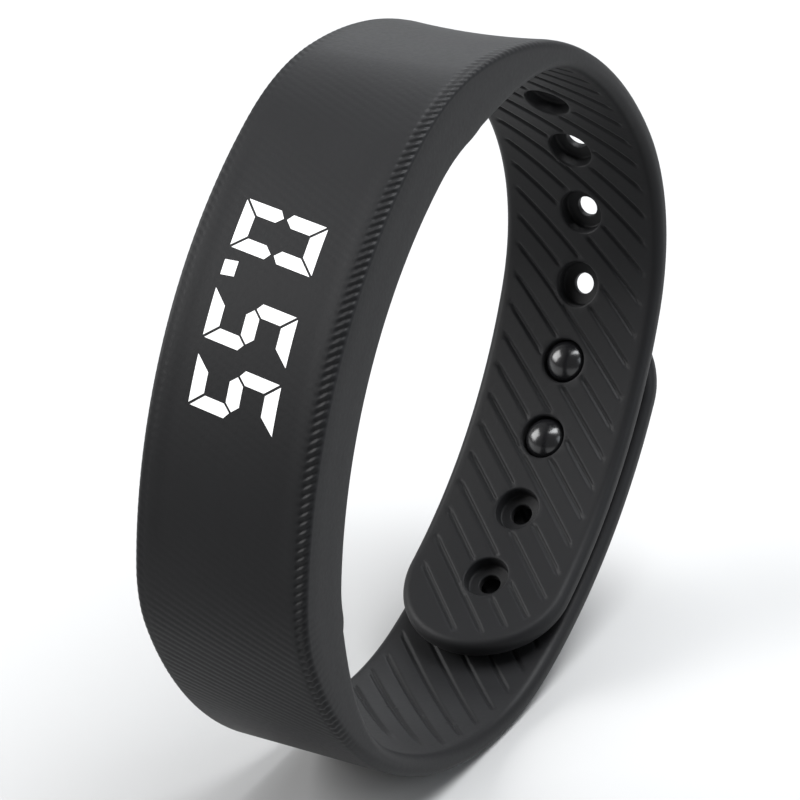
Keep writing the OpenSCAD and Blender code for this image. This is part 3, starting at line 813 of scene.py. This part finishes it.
def stacked(rings, first_number):
    """Points and faces of a solid made of closed rings of (x, y, z), capped at both ends."""
    size = len(rings[0])
    points = np.concatenate(rings)
    faces = []
    for k in range(len(rings) - 1):
        for i in range(size):
            j = (i + 1) % size
            low, high = first_number + k * size, first_number + (k + 1) * size
            faces.append((low + i, low + j, high + j, high + i))
    last = first_number + (len(rings) - 1) * size
    faces.append(tuple(range(first_number + size - 1, first_number - 1, -1)))
    faces.append(tuple(range(last, last + size)))
    return points, faces


def clasp_piece(name, solids):
    """An object from several stacked solids given in the clasp's own frame."""
    points, faces = [], []
    for rings in solids:
        made, sides = stacked(rings, sum(len(p) for p in points))
        points.append(made)
        faces += sides
    points = np.concatenate(points) * MM
    matrix = clasp_matrix()
    return build(name, [matrix @ Vector(p) for p in points], faces)


def plate_rings():
    """A flat plate with round ends and rounded edges."""
    edge = 0.35
    rings = []
    for a in np.radians(np.linspace(-90, 90, 13)):
        inset = edge * (1 - math.cos(a))
        z = edge + edge * math.sin(a)
        if a > 0:
            z = PLATE_T - edge + edge * math.sin(a)
        x, y = stadium(PLATE_L - 2 * inset, PLATE_W - 2 * inset)
        rings.append(np.stack([x, y, np.full_like(x, PLATE_BOTTOM + z)], axis=1))
    return rings


STUD_R, NECK_R = 2.25, 1.0
HEAD_TOP, HEAD_RIM, DOME_H = -1.3, 0.35, 1.4


def stud_rings(x_centre):
    """A stud from the plate to the wrist side: a neck with a fillet and a domed head."""
    dome_r = (STUD_R**2 + DOME_H**2) / (2 * DOME_H)
    soft = 0.12
    profile = [
        (NECK_R + 0.2, PLATE_BOTTOM),
        (NECK_R + 0.04, PLATE_BOTTOM - 0.12),
        (NECK_R, PLATE_BOTTOM - 0.3),
        (NECK_R, HEAD_TOP + 0.2),
        (NECK_R + 0.06, HEAD_TOP + 0.06),
        (NECK_R + 0.2, HEAD_TOP),
    ]
    profile += [(STUD_R - soft + soft * math.sin(a), HEAD_TOP - soft + soft * math.cos(a))
                for a in np.radians([0, 30, 60, 90])]
    profile += [(STUD_R, HEAD_TOP - HEAD_RIM)]
    full = math.asin(STUD_R / dome_r)
    dome_centre = HEAD_TOP - HEAD_RIM - DOME_H + dome_r
    profile += [(dome_r * math.sin(a), dome_centre - dome_r * math.cos(a))
                for a in np.linspace(full, 0.02, 16)[1:]]
    rings = []
    for r, z in profile:
        x, y = circle(r, 48)
        rings.append(np.stack([x_centre + x, y, np.full_like(x, z)], axis=1))
    return rings


plate = clasp_piece("clasp_plate_moulded", [plate_rings()])
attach(dress(plate, "clasp_plastic", "clasp_plate"), "stud_tail_3")
studs = clasp_piece("clasp_studs_turned", [stud_rings(k * HOLE_PITCH / 2) for k in (-1, 1)])
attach(dress(studs, "stud_gloss", "clasp_studs"), "stud_tail_3")

# ---- Floor, light and camera ------------------------------------------------------------------

low_corner, high_corner = (Vector(c) for c in cad_box)
centre = (low_corner + high_corner) / 2
size = high_corner - low_corner


def make_floor():
    """A wide round floor that the band stands on."""
    rings, sides, radius = 12, 96, 6.0
    points = [(0.0, 0.0, 0.0)]
    faces = []
    for k in range(1, rings + 1):
        for i in range(sides):
            a = 2 * math.pi * i / sides
            reach = radius * (k / rings) ** 2
            points.append((reach * math.cos(a), reach * math.sin(a), 0.0))
    for i in range(sides):
        j = (i + 1) % sides
        faces.append((0, 1 + i, 1 + j))
        for k in range(rings - 1):
            low, high = 1 + k * sides, 1 + (k + 1) * sides
            faces.append((low + i, high + i, high + j, low + j))
    mesh = bpy.data.meshes.new("floor")
    mesh.from_pydata(points, [], faces)
    floor = bpy.data.objects.new("floor", mesh)
    bpy.context.scene.collection.objects.link(floor)
    floor.location = (centre.x, centre.y, low_corner.z)
    floor.data.materials.append(material("floor_pale", (0.43, 0.43, 0.43), 0.8, 0.4, mottle=0.01))


def softbox(name, direction, distance, width, watts, tint=(1.0, 1.0, 1.0)):
    """A square area light that faces the band from a direction."""
    light = bpy.data.lights.new(name, "AREA")
    light.shape = "SQUARE"
    light.size = width
    light.energy = watts
    light.color = tint
    lamp = bpy.data.objects.new(name, light)
    bpy.context.scene.collection.objects.link(lamp)
    away = Vector(direction).normalized()
    lamp.location = centre + away * distance
    lamp.rotation_euler = away.to_track_quat("Z", "Y").to_euler()


def make_world(colour, strength):
    world = bpy.data.worlds.new("studio")
    world.use_nodes = True
    background = world.node_tree.nodes["Background"]
    background.inputs["Color"].default_value = (*colour, 1.0)
    background.inputs["Strength"].default_value = strength
    bpy.context.scene.world = world


def make_camera(azimuth, elevation, roll, distance, lens, aim):
    """A camera that looks at `aim` from azimuth degrees off -Y towards -X."""
    az, el, tilt = (math.radians(v) for v in (azimuth, elevation, roll))
    back = Vector((-math.sin(az) * math.cos(el), -math.cos(az) * math.cos(el), math.sin(el)))
    right = (-back).cross(Vector((0, 0, 1))).normalized()
    up = right.cross(-back)
    tilted_right = math.cos(tilt) * right + math.sin(tilt) * up
    tilted_up = -math.sin(tilt) * right + math.cos(tilt) * up
    data = bpy.data.cameras.new("camera")
    data.sensor_width = 36
    data.lens = lens
    data.clip_start = 0.01
    data.clip_end = 50
    camera = bpy.data.objects.new("camera", data)
    bpy.context.scene.collection.objects.link(camera)
    turn = Matrix((tilted_right, tilted_up, back)).transposed().to_4x4()
    camera.matrix_world = Matrix.Translation(aim + back * distance) @ turn
    bpy.context.scene.camera = camera


make_floor()
make_world((1.0, 1.0, 1.0), 0.22)
softbox("softbox_top", (0.2, -0.2, 0.93), 0.7, 0.5, 9.5, (0.97, 0.985, 1.0))
softbox("softbox_back", (0.8, 0.25, 0.55), 0.7, 0.45, 1.7, (0.95, 0.975, 1.0))
softbox("softbox_side", (0.1, -1.0, 0.35), 0.7, 0.4, 1.5, (0.88, 0.94, 1.0))
softbox("softbox_far", (-0.3, 0.8, 0.48), 0.7, 0.45, 5.2)
bpy.context.scene.view_settings.view_transform = "Standard"
make_camera(
    56.98, 26.79, -4.41, 4.141 * size.z, 136.44,
    centre + Vector((-0.06 * size.x, -0.011 * size.y, 0.017 * size.z)),
)
